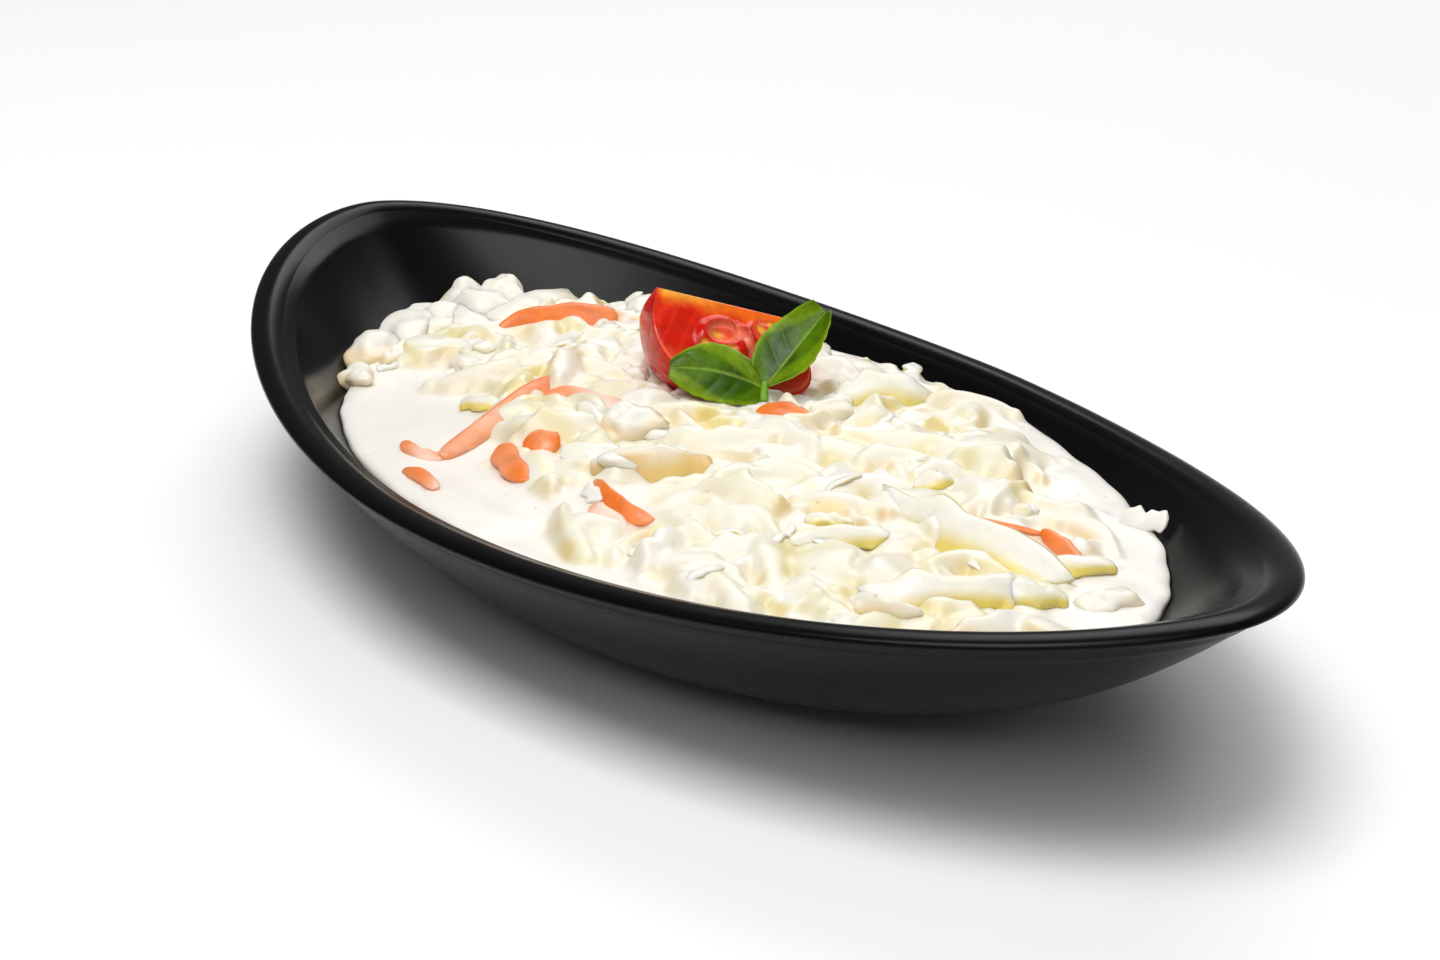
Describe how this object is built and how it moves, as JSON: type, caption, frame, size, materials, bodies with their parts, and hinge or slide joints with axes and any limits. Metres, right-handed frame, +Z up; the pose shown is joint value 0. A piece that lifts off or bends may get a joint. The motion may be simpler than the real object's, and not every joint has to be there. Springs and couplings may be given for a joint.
{
  "type": "coleslaw in a bowl",
  "caption": "Creamy shredded cabbage and carrot salad heaped in an oval boat-shaped black serving bowl, topped with a tomato wedge and a basil sprig.",
  "frame": {"origin": "middle of the bowl's foot, on the plane it rests on", "axes": "+X along the bowl's length towards its right end in the main view, +Y across the bowl towards its far side, +Z up out of the bowl"},
  "size_m": [0.2594, 0.1416, 0.0464],
  "materials": {
    "bowl": "satin black melamine",
    "coleslaw": "wet, creamy dressing over cabbage and carrot shreds",
    "tomato": "wet cut tomato with glossy skin",
    "basil": "semi-gloss fresh leaf"
  },
  "bodies": {
    "root": {"bowl": "bowl", "coleslaw": "coleslaw", "tomato_wedge": "tomato", "basil_sprig": "basil"}
  },
  "joints": []
}
